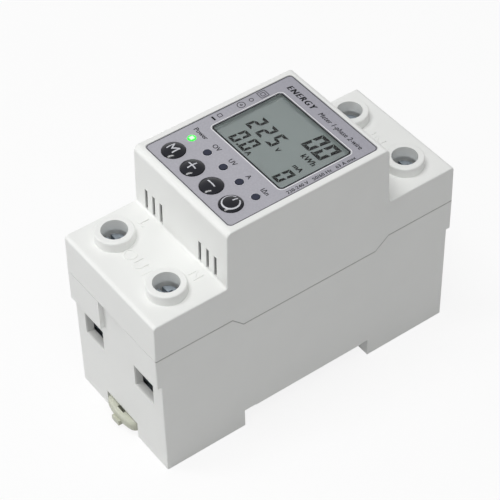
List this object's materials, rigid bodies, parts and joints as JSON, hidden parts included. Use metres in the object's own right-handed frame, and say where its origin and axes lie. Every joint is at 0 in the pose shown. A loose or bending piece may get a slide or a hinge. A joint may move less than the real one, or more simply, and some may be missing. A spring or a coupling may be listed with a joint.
{
  "type": "energy meter",
  "caption": "Energy meter that snaps on a mounting rail, with a display, push-buttons, indicator lamps and screw clamp terminals at its ends.",
  "frame": {"origin": "centre of the rail seat, the flat face that lies on the mounting rail", "axes": "+X across the width, to the right as the display reads; +Y along the length, towards the top of the display; +Z out through the display"},
  "size_m": [0.036, 0.0864, 0.0662],
  "materials": {
    "housing": "white moulded plastic with a fine satin grain",
    "front_plate": "silver-grey printed film",
    "window": "clear moulded window",
    "display_glass": "grey-green display glass",
    "light_guide": "milky light guide",
    "contact_rubber": "layered contact rubber",
    "circuit_board": "green glass-epoxy board",
    "black_plastic": "black moulded plastic",
    "film_capacitor": "yellow moulded case",
    "can": "sleeved aluminium can",
    "varistor": "blue dipped coating",
    "ferrite": "dark ferrite and yellow tape",
    "copper": "bare copper strap",
    "steel": "zinc-plated steel",
    "clip": "cream nylon",
    "button": "glossy black caps",
    "lamp_lit": "green lamp lens, lit",
    "lamp_dark": "smoked lamp lens"
  },
  "bodies": {
    "housing": {"base_housing": "housing", "top_cover": "housing", "label_plate": "front_plate", "lcd_window": "window", "lcd_glass": "display_glass", "lcd_backlight": "light_guide", "contact_strip_near": "contact_rubber", "contact_strip_far": "contact_rubber", "display_board": "circuit_board", "display_screws": "steel", "power_board": "circuit_board", "relay": "black_plastic", "leakage_ring": "black_plastic", "film_capacitor": "film_capacitor", "smoothing_capacitor": "can", "varistor": "varistor", "supply_transformer": "ferrite", "metering_chip": "black_plastic", "board_header": "black_plastic", "neutral_bar": "copper", "line_bar_in": "copper", "line_bar_out": "copper", "switch_mode": "black_plastic", "switch_plus": "black_plastic", "switch_minus": "black_plastic", "switch_power": "black_plastic", "led_power": "lamp_lit", "led_overvoltage": "lamp_dark", "led_undervoltage": "lamp_dark", "led_current": "lamp_dark", "led_leakage": "lamp_dark"},
    "rail_clip": {"rail_clip": "clip"},
    "button_mode": {"button_mode": "button", "plunger_mode": "black_plastic"},
    "button_plus": {"button_plus": "button", "plunger_plus": "black_plastic"},
    "button_minus": {"button_minus": "button", "plunger_minus": "black_plastic"},
    "button_power": {"button_power": "button", "plunger_power": "black_plastic"},
    "screw_near_left": {"screw_near_left": "steel"},
    "cage_near_left": {"cage_near_left": "steel"},
    "screw_near_right": {"screw_near_right": "steel"},
    "cage_near_right": {"cage_near_right": "steel"},
    "screw_far_left": {"screw_far_left": "steel"},
    "cage_far_left": {"cage_far_left": "steel"},
    "screw_far_right": {"screw_far_right": "steel"},
    "cage_far_right": {"cage_far_right": "steel"}
  },
  "joints": [
    {"name": "rail_clip_slide", "type": "slide", "parent": "housing", "child": "rail_clip", "axis": [0, -1, 0], "range_m": [0, 0.003], "stiffness_N_per_m": 1500, "springref_m": -0.0005},
    {"name": "button_mode_press", "type": "slide", "parent": "housing", "child": "button_mode", "axis": [0, 0, -1], "range_m": [0, 0.0005], "stiffness_N_per_m": 1000, "springref_m": -0.0003},
    {"name": "button_plus_press", "type": "slide", "parent": "housing", "child": "button_plus", "axis": [0, 0, -1], "range_m": [0, 0.0005], "stiffness_N_per_m": 1000, "springref_m": -0.0003},
    {"name": "button_minus_press", "type": "slide", "parent": "housing", "child": "button_minus", "axis": [0, 0, -1], "range_m": [0, 0.0005], "stiffness_N_per_m": 1000, "springref_m": -0.0003},
    {"name": "button_power_press", "type": "slide", "parent": "housing", "child": "button_power", "axis": [0, 0, -1], "range_m": [0, 0.0005], "stiffness_N_per_m": 1000, "springref_m": -0.0003},
    {"name": "screw_near_left_turn", "type": "hinge", "parent": "housing", "child": "screw_near_left", "pos_m": [-0.0103, -0.0337, 0.03], "axis": [0, 0, -1], "range_deg": [0, 3605]},
    {"name": "cage_near_left_lift", "type": "slide", "parent": "housing", "child": "cage_near_left", "axis": [0, 0, 1], "range_m": [0, 0.007]},
    {"name": "screw_near_right_turn", "type": "hinge", "parent": "housing", "child": "screw_near_right", "pos_m": [0.0103, -0.0337, 0.03], "axis": [0, 0, -1], "range_deg": [0, 3605]},
    {"name": "cage_near_right_lift", "type": "slide", "parent": "housing", "child": "cage_near_right", "axis": [0, 0, 1], "range_m": [0, 0.007]},
    {"name": "screw_far_left_turn", "type": "hinge", "parent": "housing", "child": "screw_far_left", "pos_m": [-0.0103, 0.0337, 0.03], "axis": [0, 0, -1], "range_deg": [0, 3605]},
    {"name": "cage_far_left_lift", "type": "slide", "parent": "housing", "child": "cage_far_left", "axis": [0, 0, 1], "range_m": [0, 0.007]},
    {"name": "screw_far_right_turn", "type": "hinge", "parent": "housing", "child": "screw_far_right", "pos_m": [0.0103, 0.0337, 0.03], "axis": [0, 0, -1], "range_deg": [0, 3605]},
    {"name": "cage_far_right_lift", "type": "slide", "parent": "housing", "child": "cage_far_right", "axis": [0, 0, 1], "range_m": [0, 0.007]}
  ],
  "couplings": [
    {"joint": "screw_near_left_turn", "follows": "cage_near_left_lift", "rad_per_m": 8976},
    {"joint": "screw_near_right_turn", "follows": "cage_near_right_lift", "rad_per_m": 8976},
    {"joint": "screw_far_left_turn", "follows": "cage_far_left_lift", "rad_per_m": 8976},
    {"joint": "screw_far_right_turn", "follows": "cage_far_right_lift", "rad_per_m": 8976}
  ]
}
